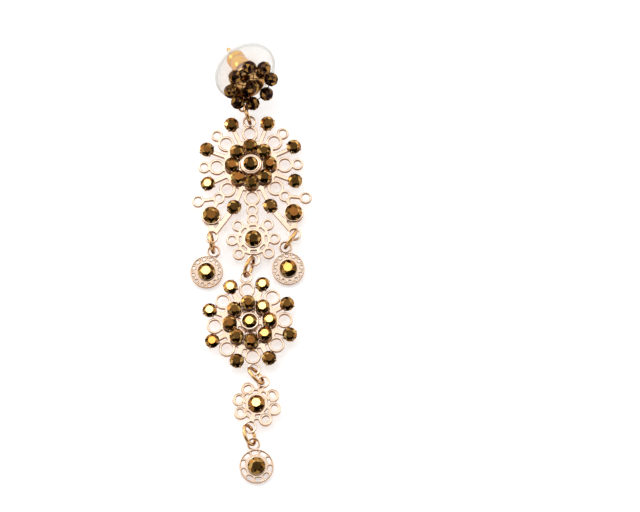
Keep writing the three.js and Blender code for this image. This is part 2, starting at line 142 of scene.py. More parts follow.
GALLERY_CLAW = {"heights": (0.2, 0.36), "radii": [0.17, 0.15, 0.13]}

# A claw from its foot up: the way out from the stone, the height over its girdle, its own radius
CLAW = [(-0.1, -0.62, 0.14), (0.04, -0.2, 0.12), (0.04, 0.12, 0.11), (-0.08, 0.27, 0.09), (-0.2, 0.34, 0.07)]

# Jump rings. Each seam is at an angle drawn between two others
RING = {"mean": 1.775, "wire": 0.32, "seam_degrees": 5, "seam_at": (150, 210), "points": 48}

# Ear stud
POST = {"radius": 0.4, "length": 11, "groove": 1.6, "groove_length": 0.5, "groove_depth": 0.1}
PAD = {
    "radius": 3.4, "thickness": 0.6, "shift": 0.8, "lug_reach": 5.2, "lug_turn": 24, "neck": 1.1,
    "neck_gap": 0.2,
}
BEAD = {"radius": 1.298, "start": 33}
MIDDLE_BEAD_WAY = (1, 0.4, 0)
THREAD = {"radius": 0.09, "sag": 0.12, "sunk": 0.1}

# The post's tip as shares of its radius and heights, and its foot as added radii and heights
POST_TIP = [(0.55, 0), (0.85, 0.12), (1, 0.35)]
POST_FOOT = [(0, -0.45), (0.12, -0.2), (0.4, 0.02), (0.4, 0.2)]

# The pad's rounded edge: how far in and how far from the face
PAD_EDGE = [(0.12, 0), (0.03, 0.06), (0, 0.2)]

# The bead's rows of corners: latitude, and turn in steps of the row
BEAD_ROWS = [(62, 0), (30, 0.5), (0, 0), (-30, 0.5), (-62, 0)]
BEAD_FLATNESS = 4

# Clutch
CLUTCH = {"radius": 5.9, "thickness": 1, "rim": 0.5, "to_pad": 2.2}
BARREL = {"radius": 1.7, "length": 4.6, "neck": 1.1, "dome": 0.5}
CLEARANCE = {"post": 0.2, "neck": 0.1}
HOLE_BEVEL = 0.05

# The disc's edge, and the barrel's groove from its end: how far in and how far along
DISC_EDGE = {"bevel": 0.35, "bevel_depth": 0.12, "belly": 0.04, "belly_half": 0.2}
BARREL_GROOVE = [(0, 1.4), (0.12, 1.55), (0.12, 1.8), (0, 1.95)]
BARREL_SHOULDER = {"inset": 0.1, "length": 0.15}
BARREL_DOME = {"inset": 0.35, "height": 0.3}
BARREL_REACH = 0.02

# Hand-set stones lean a little, and the table facets of some catch the key light. The stones listed below
# also get a pale table tint, a painted highlight, and the others a darker table tint, painted shade
KEY = {"azimuth": -30, "elevation": 66, "size": 0.12, "power": 0.2}
FILL = {"azimuth": -62, "elevation": 17, "size": 0.22, "power": 0.6}
LIT_LEAN = {"left": 5.8, "up": 1.5}
UNLIT_LEAN = 2.5
UNEVEN = 1.2
LIT_PAINTED_TABLES = {
    "main_outer_stone_5": 0.9, "side_stone_left": 0.85, "side_stone_right": 0.6, "flower_stone": 0.9,
    "second_centre_stone": 0.75, "second_outer_stone_2": 0.9, "second_outer_stone_3": 0.9,
    "second_outer_stone_4": 0.9, "second_outer_stone_5": 0.55,
}
LIT_INNER_PAINTED_TABLES = {"main_inner_stones": {}, "second_inner_stones": {0: 0.85, 1: 0.9, 7: 0.75}}
UNLIT_TABLE_SHADE_TINTS = (0.12, 0.5)
STONE_TINTS = (0, 0.95)
BEAD_TINTS = (0, 0.9)

# Materials. Each noise is a scale and a detail
# The wall stops set where the painted shade on steep walls begins and ends.
METAL = {
    "cloud": (350, 4), "cloud_stops": (0.3, 0.62), "painted_wall_shade_stops": (0.2, 0.92),
    "polish": (900, 3), "grain": (2600, 2), "grain_height": 2e-5,
}
COATING = {"edge": (0.62, 0.56, 0.5, 1), "cloud": (700, 2), "cloud_share": 0.08, "polish": (1500, 2)}
PLASTIC = {"haze": (160, 2), "polish": (500, 2), "roughness": (0.03, 0.1)}
HAZES = [(0.3, (0.84, 0.78, 0.75)), (0.5, (0.84, 0.83, 0.78)), (0.7, (0.75, 0.78, 0.84))]
FILM = {"rim": 0.62, "flat": 0.23, "turn": 0.86}
CRYSTAL_TONES = [
    (0.0, (0.014, 0.006, 0.002)), (0.3, (0.13, 0.065, 0.016)), (0.5, (0.38, 0.14, 0.03)),
    (0.68, (0.32, 0.19, 0.05)), (1.0, (0.82, 0.48, 0.17)),
]
BEAD_TONES = [
    (0.0, (0.012, 0.006, 0.01)), (0.4, (0.05, 0.024, 0.016)),
    (0.75, (0.24, 0.12, 0.03)), (1.0, (0.55, 0.29, 0.07)),
]

# Studio
DARK_SIDE = (0.15, -0.9, 0.35)
ROOM = [(0.0, 1.3), (0.5, 1.15), (0.68, 1.0), (0.76, 0.25), (0.88, 0.02)]
HORIZON = {"full": 0.3, "none": 0.42, "gray": 0.9}
LIGHT_DISTANCE = 0.6
FLOOR = {"half": 3, "glow": 0.5, "roughness": 0.9, "gloss": 0.1, "noise": (2, 2)}
FLOOR_TONES = [(0.3, (0.9, 0.9, 0.9)), (0.7, (0.92, 0.92, 0.92))]

# Camera. The photograph's size and the main stone's place in it are in pixels
ELEVATION = 72
LENS = 300
SENSOR = 36
CLIP = 100
PHOTO = (640, 512)
PIXEL = 0.18 * MM
STONE_PIXEL = (250.8, 163.9)


# Meshes

SHARP = math.radians(50)
WELD = 1e-4

# The round ends of a tube: reach and radius as shares of the tube's radius
TUBE_ENDS = [(0.9, 0.35), (0.5, 0.8)]


class Build:
    """Collects closed shells in a local frame, in millimetres."""

    def __init__(self, frame_matrix):
        self.matrix = frame_matrix
        self.points = []
        self.faces = []
        self.smooth = []

    def add(self, points, faces, smooth=True, place=None):
        first = len(self.points)
        if place is not None:
            points = [place @ Vector(p) for p in points]
        self.points += [tuple(p) for p in points]
        self.faces += [tuple(first + i for i in face) for face in faces]
        self.smooth += [smooth] * len(faces) if isinstance(smooth, bool) else list(smooth)

    def object(self, name, material, weld=WELD):
        mesh = bpy.data.meshes.new(name)
        mesh.from_pydata(self.points, [], self.faces)
        mesh.polygons.foreach_set("use_smooth", self.smooth)
        work = bmesh.new()
        work.from_mesh(mesh)
        if weld:
            bmesh.ops.remove_doubles(work, verts=work.verts, dist=weld)
        bmesh.ops.recalc_face_normals(work, faces=work.faces)
        for edge in work.edges:
            edge.smooth = edge.calc_face_angle(0) < SHARP
        work.to_mesh(mesh)
        work.free()
        mesh.transform(self.matrix)
        mesh.materials.append(material)
        made = bpy.data.objects.new(name, mesh)
        bpy.context.scene.collection.objects.link(made)
        return made


def polar(radius, degrees):
    return radius * math.cos(math.radians(degrees)), radius * math.sin(math.radians(degrees))


def at(x, y, z=0.0):
    return Matrix.Translation((x, y, z))


def around(count, start=0):
    return [start + 360 / count * i for i in range(count)]


def lathe(profile, sides=32):
    """A closed or axis-to-axis profile of (radius, height) turned round Z."""
    points = []
    for i in range(sides):
        c, s = polar(1, 360 / sides * i)
        points += [(r * c, r * s, z) for r, z in profile]
    count = len(profile)
    faces = []
    for i in range(sides):
        this, following = i * count, (i + 1) % sides * count
        for k in range(count - 1):
            if profile[k][0] < TINY and profile[k + 1][0] < TINY:
                continue
            face = [this + k, this + k + 1, following + k + 1, following + k]
            if profile[k][0] < TINY:
                face = face[:3]
            elif profile[k + 1][0] < TINY:
                face = [face[0], face[1], face[3]]
            faces.append(face)
    return points, faces


def rounded(corners, radius, steps=3):
    """Rounds the corners of a closed profile of (radius, height)."""
    out = []
    for i, corner in enumerate(corners):
        here = Vector(corner)
        before = (Vector(corners[i - 1]) - here).normalized() * radius
        after = (Vector(corners[(i + 1) % len(corners)]) - here).normalized() * radius
        for k in range(steps + 1):
            t = k / steps
            out.append(tuple(here + before * (1 - t) ** 2 + after * t**2))
    return out + [out[0]]


def band(inner, outer, low, high, radius=0.06):
    """The rounded section of a flat ring."""
    return rounded([(inner, low), (outer, low), (outer, high), (inner, high)], radius)


def tube(path, radii, sides):
    """A tube with round ends along a path of points."""
    path = [Vector(p) for p in path]
    first = (path[1] - path[0]).normalized()
    last = (path[-1] - path[-2]).normalized()
    rows = [(path[0] - first * radii[0] * reach, radii[0] * share) for reach, share in TUBE_ENDS]
    rows += list(zip(path, radii))
    rows += [(path[-1] + last * radii[-1] * reach, radii[-1] * share) for reach, share in reversed(TUBE_ENDS)]
    points, faces = [], []
    across = first.orthogonal().normalized()
    for i, (centre, radius) in enumerate(rows):
        along = (rows[min(i + 1, len(rows) - 1)][0] - rows[max(i - 1, 0)][0]).normalized()
        across = (across - along * across.dot(along)).normalized()
        other = along.cross(across)
        for k in range(sides):
            c, s = polar(radius, 360 / sides * k)
            points.append(centre + across * c + other * s)
    for i in range(len(rows) - 1):
        for k in range(sides):
            n = (k + 1) % sides
            faces.append((i * sides + k, i * sides + n, (i + 1) * sides + n, (i + 1) * sides + k))
    faces.append(tuple(reversed(range(sides))))
    faces.append(tuple((len(rows) - 1) * sides + k for k in range(sides)))
    return points, faces


# Plates: a field of distances gives the outline, which is given a rounded edge


def round_field(x, y, radius):
    return lambda X, Y: np.hypot(X - x, Y - y) - radius


def bar_field(x0, y0, x1, y1, width):
    def field(X, Y):
        dx, dy = x1 - x0, y1 - y0
        t = np.clip(((X - x0) * dx + (Y - y0) * dy) / (dx * dx + dy * dy), 0, 1)
        return np.hypot(X - x0 - t * dx, Y - y0 - t * dy) - width / 2

    return field


def slot_field(cx, cy, circle, degrees, length, width):
    """An opening whose long side lies across the radius at that angle."""
    x, y = polar(circle, degrees)
    ax, ay = polar(max(length - width, SHORTEST_SLOT) / 2, degrees + 90)
    return bar_field(cx + x - ax, cy + y - ay, cx + x + ax, cy + y + ay, width)


def slots(x, y, sizes, angles):
    """A circle of such openings round a middle."""
    size = (sizes["slot_length"], sizes["slot_width"])
    return [slot_field(x, y, sizes["slot_circle"], a, *size) for a in angles]


def blended(fields, X, Y):
    """A union whose inner corners are filled, as in a casting."""
    total = fields[0](X, Y)
    for field in fields[1:]:
        other = field(X, Y)
        mix = np.clip(0.5 + 0.5 * (other - total) / FILLET, 0, 1)
        total = other * (1 - mix) + total * mix - FILLET * mix * (1 - mix)
    return total


def loops_of(field, xs, ys):
    """Closed loops where the field crosses zero, with the inside on the left."""
    inside = field < 0
    corners_in = (
        inside[:-1, :-1].astype(int) + inside[:-1, 1:] + inside[1:, 1:] + inside[1:, :-1]
    )
    place, following = {}, {}
    for j, i in zip(*np.nonzero((corners_in > 0) & (corners_in < 4))):
        corners = [(i, j), (i + 1, j), (i + 1, j + 1), (i, j + 1)]
        out_edges, in_edges = [], []
        for k in range(4):
            p, q = corners[k], corners[(k + 1) % 4]
            if inside[p[1], p[0]] == inside[q[1], q[0]]:
                continue
            key = (min(p, q), max(p, q))
            a, b = field[p[1], p[0]], field[q[1], q[0]]
            t = a / (a - b)
            place[key] = (xs[p[0]] + t * (xs[q[0]] - xs[p[0]]), ys[p[1]] + t * (ys[q[1]] - ys[p[1]]))
            (out_edges if inside[p[1], p[0]] else in_edges).append(key)
        if len(out_edges) == 2 and inside[corners[0][1], corners[0][0]]:
            in_edges.reverse()
        following.update(zip(out_edges, in_edges))
    loops = []
    while following:
        start, key = next(iter(following.items()))
        del following[start]
        loop = [place[start]]
        while key != start:
            loop.append(place[key])
            key = following.pop(key)
        loops.append(loop)
    return loops


def evened(loop, spacing):
    """The same loop with points at an even spacing."""
    points = np.array(loop + [loop[0]])
    lengths = np.hypot(*np.diff(points, axis=0).T)
    along = np.concatenate([[0], np.cumsum(lengths)])
    count = max(FEWEST_POINTS, int(round(along[-1] / spacing)))
    wanted = np.linspace(0, along[-1], count, endpoint=False)
    return np.column_stack([np.interp(wanted, along, points[:, axis]) for axis in (0, 1)])


def edge_profile(thickness, middle):
    """Insets and heights round the edge of a plate, from its lower face to its upper one."""
    half = thickness / 2
    turns = [math.pi / 2 * k / EDGE_STEPS for k in range(EDGE_STEPS + 1)]
    rows = [(EDGE * (1 - math.cos(a)), half - EDGE * (1 - math.sin(a))) for a in turns]
    lower = [(inset, middle - z) for inset, z in reversed(rows)]
    return lower + [(inset, middle + z) for inset, z in rows]


def plate(build, solids, openings, thickness=PLATE, middle=0.0, grid=GRID):
    """Adds a flat plate with rounded edges to a build."""
    probe = np.linspace(-PROBE["reach"], PROBE["reach"], PROBE["samples"])
    X, Y = np.meshgrid(probe, probe)
    found = np.nonzero(blended(solids, X, Y) < PROBE["near"])
    low = (probe[found[1].min()] - PROBE["margin"], probe[found[0].min()] - PROBE["margin"])
    high = (probe[found[1].max()] + PROBE["margin"], probe[found[0].max()] + PROBE["margin"])
    xs = np.arange(low[0], high[0], grid)
    ys = np.arange(low[1], high[1], grid)
    X, Y = np.meshgrid(xs, ys)
    field = blended(solids, X, Y)
    for opening in openings:
        field = np.maximum(field, -opening(X, Y))
    field[np.abs(field) < TINY] = TINY
    profile = edge_profile(thickness, middle)
    work = bmesh.new()
    walls = []
    caps = ([], [])
    for loop in loops_of(field, xs, ys):
        if len(loop) < SHORTEST_LOOP:
            continue
        points = evened(loop, grid)
        ahead = np.roll(points, -1, axis=0) - np.roll(points, 1, axis=0)
        ahead /= np.hypot(*ahead.T)[:, None]
        inward = np.column_stack([-ahead[:, 1], ahead[:, 0]])
        rings = []
        for inset, z in profile:
            rings.append([work.verts.new((*p, z)) for p in points + inward * inset])
        count = len(points)
        for lower, upper in zip(rings, rings[1:]):
            for k in range(count):
                n = (k + 1) % count
                walls.append(work.faces.new((lower[k], lower[n], upper[n], upper[k])))
        for ring, cap in ((rings[0], caps[0]), (rings[-1], caps[1])):
            cap += [work.edges.get((ring[k], ring[(k + 1) % count])) for k in range(count)]
    for face in walls:
        face.smooth = True
    for cap in caps:
        bmesh.ops.triangle_fill(work, use_beauty=True, use_dissolve=False, edges=cap)
    work.verts.index_update()
    points = [v.co.copy() for v in work.verts]
    faces = [[v.index for v in face.verts] for face in work.faces]
    smooth = [face.smooth for face in work.faces]
    work.free()
    build.add(points, faces, smooth)


def lug_ring(build, x, y):
    half = LUG["thickness"] / 2
    build.add(*lathe(band(LUG["bore"], LUG["outer"], -half, half, LUG["round"])), place=at(x, y))


def lug_opening(x, y):
    """The opening in a plate round a lug, whose ring's inner edge stands in it."""
    return round_field(x, y, LUG["bore"] + LUG["shoulder"])


def raised_ring(build, x, y, inner, outer, shape, sides=32):
    """A raised ring on the face of a plate."""
    section = band(inner, outer, PLATE / 2 - shape["sunk"], PLATE / 2 + shape["high"], shape["round"])
    build.add(*lathe(section, sides), place=at(x, y))


# Stones


def stone_shape(diameter):
    """A round cut: octagonal table, eight stars, eight kites, sixteen upper facets, pavilion."""
    radius = diameter / 2
    top = CUT["girdle"] * diameter
    table = top + CUT["crown"] * diameter
    slope = (table - top) / (radius * (1 - CUT["table"]))
    star = CUT["star"] * radius
    star_z = table - (star * math.cos(math.radians(EIGHTH / 2)) - CUT["table"] * radius) * slope
    rings = [
        [(*polar(CUT["table"] * radius, a), table) for a in around(FOLD)],
        [(*polar(star, a), star_z) for a in around(FOLD, EIGHTH / 2)],
        [(*polar(radius, a), top) for a in around(2 * FOLD)],
        [(*polar(radius, a), 0) for a in around(2 * FOLD)],
        [(0, 0, -CUT["pavilion"] * diameter)],
    ]
    starts = [0, FOLD, 2 * FOLD, 4 * FOLD, 6 * FOLD]
    faces = [tuple(range(FOLD))]
    for k in range(FOLD):
        n = (k + 1) % FOLD
        before = (k - 1) % FOLD
        star_k, star_before = starts[1] + k, starts[1] + before
        girdle = starts[2] + 2 * k
        between = girdle + 1
        girdle_n = starts[2] + (2 * k + 2) % (2 * FOLD)
        faces += [
            (n, k, star_k),
            (k, star_before, girdle, star_k),
            (star_k, girdle, between),
            (star_k, between, girdle_n),
        ]
    for k in range(2 * FOLD):
        n = (k + 1) % (2 * FOLD)
        faces += [
            (starts[2] + n, starts[2] + k, starts[3] + k, starts[3] + n),
            (starts[3] + n, starts[3] + k, starts[4]),
        ]
    return [p for ring in rings for p in ring], faces


def claw(build, x, y, radius, girdle, degrees):
    """A small claw that rises from the cup and bends over the girdle."""
    path = [(*polar(radius + out, degrees), girdle + up) for out, up, _ in CLAW]
    build.add(*tube(path, [own for _, _, own in CLAW], 8), place=at(x, y))


def cup(build, x, y, diameter, girdle, start):
    """A flared cup under a stone, with claws."""
    radius = diameter / 2
    lip = girdle - CUP["lip_drop"]
    floor = max(girdle - CUT["pavilion"] * diameter, -PLATE / 2 + SEAT["floor"])
    corners = [
        (radius * SEAT["hole"], -PLATE / 2),
        (radius - CUP["taper"], -PLATE / 2),
        (radius - CUP["lip_inset"], lip),
        (radius - CUP["taper"], lip),
        (radius * CUP["hole"], floor),
    ]
    build.add(*lathe(rounded(corners, CUP["round"])), place=at(x, y))
    for degrees in around(CLAWS, start):
        claw(build, x, y, radius, girdle, degrees)


def seat_edge(radius, girdle):
    """The innermost point of a bezel's floor, under the stone."""
    return radius * SEAT["hole"], max(girdle - SEAT["depth"] * radius, -PLATE / 2 + SEAT["floor"])


def thin_bezel(build, x, y, diameter, girdle):
    """A thin cup whose edge ends just under the stone's widest line."""
    radius = diameter / 2
    outer = radius + THIN_BEZEL["wall"]
    lip = girdle + THIN_BEZEL["lip"]
    corners = [
        (radius * SEAT["hole"], -PLATE / 2),
        (outer - THIN_BEZEL["taper"], -PLATE / 2),
        (outer, lip),
        (radius - THIN_BEZEL["overlap"], lip),
        seat_edge(radius, girdle),
    ]
    build.add(*lathe(rounded(corners, BEZEL_ROUND, 2), BEZEL_SIDES), place=at(x, y))


def bezel(build, x, y, diameter, girdle, outer):
    """A bezel that stands round the girdle, with a flat rim and its lip turned in a little."""
    radius = diameter / 2
    lip = girdle + CUT["girdle"] * diameter + BEZEL["lip"]
    groove = [
        (outer - GROOVE["from_rim"], lip - GROOVE["depth"]),
        (radius + GROOVE["from_stone"], lip - GROOVE["depth"]),
        (radius + GROOVE["top"], lip),
    ]
    corners = [
        (radius * SEAT["hole"], -PLATE / 2),
        (outer, -PLATE / 2),
        (outer, lip - BEZEL["bevel"]),
        (outer - BEZEL["bevel"], lip),
        *(groove if outer - radius > GROOVE["least_wall"] else []),
        (radius - BEZEL["turned_in"], lip),
        (radius - BEZEL["turned_in"], lip - BEZEL["turn"]),
        (radius + BEZEL["play"], lip - BEZEL["under"]),
        (radius + BEZEL["play"], girdle - BEZEL["seat_drop"]),
        seat_edge(radius, girdle),
    ]
    build.add(*lathe(rounded(corners, BEZEL_ROUND, 2), BEZEL_SIDES), place=at(x, y))


def ball(radius, rows=6, sides=10):
    profile = [polar(radius, -90 + 180 / rows * i) for i in range(rows + 1)]
    profile[0] = (0, -radius)
    profile[-1] = (0, radius)
    return lathe(profile, sides)


# Frames of the pieces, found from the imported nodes


def points_of(name):
    """A node's different vertices, in metres."""
    co = np.array([v.co for v in nodes[name].data.vertices], float)
    return np.unique(np.round(co, 6), axis=0)


def stone_frame(name, diameter):
    """The centre of a stone's girdle and its axis. Its lowest point is its culet."""
    points = points_of(name)
    culet = Vector(points[points[:, 2].argmin()])
    rest = Vector(np.delete(points, points[:, 2].argmin(), axis=0).mean(0))
    axis = (rest - culet).normalized()
    return culet + axis * CUT["pavilion"] * diameter * MM, axis


def piece_frame(origin, x_way, z_way):
    """A frame in millimetres, from an origin in metres and two directions."""
    z_axis = Vector(z_way).normalized()
    x_axis = (Vector(x_way) - z_axis * Vector(x_way).dot(z_axis)).normalized()
    y_axis = z_axis.cross(x_axis)
    turn = Matrix((x_axis, y_axis, z_axis)).transposed().to_4x4()
    return Matrix.Translation(origin) @ turn @ Matrix.Scale(MM, 4)


def turned(way, axis, degrees):
    return Matrix.Rotation(math.radians(degrees), 3, axis) @ way


def plate_frame(centre_stone, diameter, girdle, x_way):
    """The frame of the plate under a stone, with its origin in the plate's middle."""
    centre, axis = stone_frame(centre_stone, diameter)
    return piece_frame(centre - axis * girdle * MM, x_way(centre, axis), axis)


def main_frame():
    def x_way(_centre, _axis):
        left = stone_frame("main_large_stone_left", STONES["large"])[0]
        right = stone_frame("main_large_stone_right", STONES["large"])[0]
        return right - left

    return plate_frame("main_centre_stone", STONES["centre"], GIRDLES["inner"], x_way)


def second_frame():
    def x_way(centre, axis):
        first = stone_frame("second_outer_stone_1", STONES["outer"])[0]
        return turned(first - centre, axis, -EIGHTH / 2)

    return plate_frame("second_centre_stone", STONES["centre"], GIRDLES["inner"], x_way)


def flower_frame():
    def x_way(_centre, axis):
        points = points_of("flower_link")
        spread = np.linalg.eigh(np.cov((points - points.mean(0)).T))
        y_axis = Vector(spread[1][:, 2])
        y_axis *= 1 if y_axis.y > 0 else -1
        return y_axis.cross(axis)

    return plate_frame("flower_stone", STONES["flower"], GIRDLES["large"], x_way)


def drop_frame(disc, stone):
    def x_way(centre, axis):
        return (Vector(points_of(disc).mean(0)) - centre).cross(axis)

    return plate_frame(stone, STONES["large"], GIRDLES["large"], x_way)


def stud_frame():
    """The post runs along -Z from the pad's back, and the beads are in front of the pad on +Z."""
    z_axis = -Vector(frame["joints"][0]["axis"]).normalized()
    disc = Vector(points_of("clutch_disc").mean(0))
    origin = disc + z_axis * (CLUTCH["to_pad"] + CLUTCH["thickness"] / 2) * MM
    beads = [Vector(points_of(f"bead_{i + 1}").mean(0)) for i in range(FOLD)]
    middle = sum(beads, Vector()) / FOLD
    return piece_frame(origin, turned(beads[0] - middle, z_axis, -BEAD["start"]), z_axis)


# Materials


class Tree:
    """A node tree, with short calls for the nodes used here."""

    def __init__(self, tree):
        self.tree = tree

    def add(self, kind, **values):
        node = self.tree.nodes.new(kind)
        for key, value in values.items():
            if key in node.inputs:
                node.inputs[key].default_value = value
            else:
                setattr(node, key, value)
        return node

    def link(self, output, socket):
        self.tree.links.new(output, socket)

    def noise(self, scale, detail):
        where = self.add("ShaderNodeTexCoord")
        made = self.add("ShaderNodeTexNoise", Scale=scale, Detail=detail)
        self.link(where.outputs["Object"], made.inputs["Vector"])
        return made.outputs["Fac"]

    def ramp(self, factor, stops, interpolation="LINEAR"):
        made = self.add("ShaderNodeValToRGB")
        ramp = made.color_ramp
        ramp.interpolation = interpolation
        while len(ramp.elements) < len(stops):
            ramp.elements.new(0.5)
        for element, (position, color) in zip(ramp.elements, stops):
            element.position = position
            element.color = (*color, 1)
        self.link(factor, made.inputs["Fac"])
        return made.outputs["Color"]

    def span(self, factor, low, high, start=0.0, end=1.0):
        ends = {"From Min": start, "From Max": end, "To Min": low, "To Max": high}
        made = self.add("ShaderNodeMapRange", **ends)
        self.link(factor, made.inputs["Value"])
        return made.outputs["Result"]

    def along(self, direction, axis):
        """The share of a direction that lies along an axis."""
        made = self.add("ShaderNodeVectorMath", operation="DOT_PRODUCT")
        made.inputs[1].default_value = axis
        self.link(direction, made.inputs[0])
        return made.outputs["Value"]

    def math(self, operation, *values):
        made = self.add("ShaderNodeMath", operation=operation)
        for socket, value in zip(made.inputs, values):
            self.link(value, socket)
        return made.outputs[0]


class Look(Tree):
    """A material with its shader."""

    def __init__(self, name):
        self.material = bpy.data.materials.new(name)
        self.material.use_nodes = True
        self.shader = self.material.node_tree.nodes["Principled BSDF"]
        super().__init__(self.material.node_tree)

    def give(self, socket, value):
        self.shader.inputs[socket].default_value = value

    def drive(self, socket, output):
        self.link(output, self.shader.inputs[socket])

    def facing(self, axis):
        """One where the surface faces along the axis or against it, and zero where it runs along it."""
        normal = self.add("ShaderNodeNewGeometry").outputs["Normal"]
        return self.math("ABSOLUTE", self.along(normal, axis))


def metal(name, pale, deep, wall, roughness, grain):
    """Plated metal: a cloudy colour with painted shade that darkens steep walls, uneven polish, a cast grain.
    """
    made = Look(name)
    made.give("Metallic", 1)
    color = made.ramp(made.noise(*METAL["cloud"]), list(zip(METAL["cloud_stops"], (deep, pale))))
    # Painted shade: steep walls, facing sideways rather than up, take the darker wall colour.
    share = made.ramp(made.facing(UP), list(zip(METAL["painted_wall_shade_stops"], ((0, 0, 0), (1, 1, 1)))))
    mix = made.add("ShaderNodeMix", data_type="RGBA")
    mix.inputs["A"].default_value = (*wall, 1)
    made.link(share, mix.inputs["Factor"])
    made.link(color, mix.inputs["B"])
    made.drive("Base Color", mix.outputs["Result"])
    made.drive("Roughness", made.span(made.noise(*METAL["polish"]), *roughness))
    bump = made.add("ShaderNodeBump", Strength=grain, Distance=METAL["grain_height"])
    made.link(made.noise(*METAL["grain"]), bump.inputs["Height"])
    made.drive("Normal", bump.outputs["Normal"])
    return made.material


def coated(name, tones, roughness):
    """Glass under a metallic coating, whose tint differs a little from facet to facet, with a painted
    highlight or painted shade on the stones' table facets where given.
    """
    made = Look(name)
    made.give("Metallic", 1)
    made.give("Specular Tint", COATING["edge"])
    tint = made.add("ShaderNodeAttribute", attribute_name="facet_tone_and_painted_table_light").outputs["Fac"]
    cloud = made.span(made.noise(*COATING["cloud"]), -COATING["cloud_share"], COATING["cloud_share"])
    made.drive("Base Color", made.ramp(made.math("ADD", tint, cloud), tones))
    made.drive("Roughness", made.span(made.noise(*COATING["polish"]), *roughness))
    return made.material


def clear(name, axis):
    """Thin clear plastic: a faint film on the flat sides of a disc, denser round its rim."""
    made = Look(name)
    made.drive("Base Color", made.ramp(made.noise(*PLASTIC["haze"]), HAZES))
    made.drive("Roughness", made.span(made.noise(*PLASTIC["polish"]), *PLASTIC["roughness"]))
    made.drive("Alpha", made.span(made.facing(axis), FILM["rim"], FILM["flat"], FILM["turn"]))
    return made.material


# The third colour of each metal is painted shade on its steep walls.
ROSE = metal("rose_gold", (0.98, 0.77, 0.6), (0.92, 0.65, 0.46), (0.36, 0.16, 0.06), (0.1, 0.2), 0.35)
GOLD = metal("gold", (1.0, 0.66, 0.32), (0.88, 0.46, 0.16), (0.24, 0.09, 0.015), (0.1, 0.2), 0.25)
ORANGE = metal("barrel_gold", (1.0, 0.62, 0.13), (0.92, 0.43, 0.05), (0.8, 0.33, 0.03), (0.12, 0.25), 0.25)
CRYSTAL = coated("bronze_crystal", CRYSTAL_TONES, (0.05, 0.12))
BEADS = coated("bronze_bead", BEAD_TONES, (0.06, 0.14))
CLEAR = clear("clear_plastic", frame["joints"][0]["axis"])
CORD = metal("thread_bronze", (0.16, 0.09, 0.04), (0.06, 0.03, 0.015), (0.05, 0.03, 0.01), (0.35, 0.5), 0.6)


# Pieces


def dress(made, body, slot, *replaced):
    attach(made, body)
    if replaced:
        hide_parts(*replaced)


def tint_facets(made, spread, painted_table_tints=()):
    """Gives each facet its own share of the coating's colours at random, and the table facets given ones: a
    pale tint, painted highlight, on lit stones, and a darker tint, painted shade, on the others.
    """
    layer = made.data.attributes.new("facet_tone_and_painted_table_light", "FLOAT", "FACE")
    tints = [rng.uniform(*spread) for _ in made.data.polygons]
    found = [face.index for face in made.data.polygons if face.loop_total == FOLD]
    for index, tint in zip(found, painted_table_tints):
        tints[index] = tint
    layer.data.foreach_set("value", tints)


def seat_tilt(lit):
    """A slight lean: to the left, where the key light is, for a stone whose table catches it."""
    across = (-LIT_LEAN["left"] if lit else UNLIT_LEAN) + rng.uniform(-UNEVEN, UNEVEN)
    upwards = (LIT_LEAN["up"] if lit else -UNLIT_LEAN) + rng.uniform(-UNEVEN, UNEVEN)
    return Matrix.Rotation(-math.radians(upwards), 4, "X") @ Matrix.Rotation(math.radians(across), 4, "Y")


def stone(node, diameter):
    """A cut stone where its plain node is, seated a little unevenly, as hand-set stones are."""
    lit = node in LIT_PAINTED_TABLES
    centre, axis = stone_frame(node, diameter)
    seat = piece_frame(centre, (1, 0, 0), UP if lit else axis) @ seat_tilt(lit)
    build = Build(seat @ Matrix.Rotation(rng.uniform(0, math.tau), 4, "Z"))
    build.add(*stone_shape(diameter * STONE_FULL), smooth=False)
    made = build.object(node + "_cut", CRYSTAL, weld=0)
    # Painted highlight: a pale tint on the table of a lit stone; other table facets take a darker tint,
    # painted shade.
    tint_facets(made, STONE_TINTS, [LIT_PAINTED_TABLES.get(node, rng.uniform(*UNLIT_TABLE_SHADE_TINTS))])
    dress(made, "earring", "crystal", node)


def stone_ring(node, plate_matrix, circle):
    """The stones of one ring, side by side, as one piece."""
    build = Build(plate_matrix)
    for i, degrees in enumerate(around(FOLD)):
        turn = Matrix.Rotation(rng.uniform(0, math.tau), 4, "Z")
        tilt = seat_tilt(i in LIT_INNER_PAINTED_TABLES[node])
        place = at(*polar(circle, degrees), GIRDLES["inner"]) @ tilt @ turn
        build.add(*stone_shape(STONES["inner"] * INNER_FULL), smooth=False, place=place)
    made = build.object(node + "_cut", CRYSTAL, weld=0)
    # Painted highlight on the table facets of the lit inner stones, and painted shade, a darker tint, on the
    # rest.
    painted_table_tints = [LIT_INNER_PAINTED_TABLES[node].get(i, rng.uniform(*UNLIT_TABLE_SHADE_TINTS)) for i in range(FOLD)]
    tint_facets(made, STONE_TINTS, painted_table_tints)
    dress(made, "earring", "crystal", node)


def gallery(build, circle):
    """The raised seat under a ring of stones, with claws between neighbours on both sides."""
    radius = STONES["inner"] / 2
    low = PLATE / 2 - GALLERY["sunk"]
    high = GIRDLES["inner"] - GALLERY["drop"]
    for x, y in [polar(circle, a) for a in around(FOLD)]:
        section = band(radius * GALLERY["hole"], radius - GALLERY["inset"], low, high)
        build.add(*lathe(section, 24), place=at(x, y))
    for a in STONE_ANGLES:
        for share in GALLERY["claws_at"]:
            x, y = polar(circle * share, a)
            path = [(x, y, low), *((x, y, high + up) for up in GALLERY_CLAW["heights"])]
            build.add(*tube(path, GALLERY_CLAW["radii"], 8))


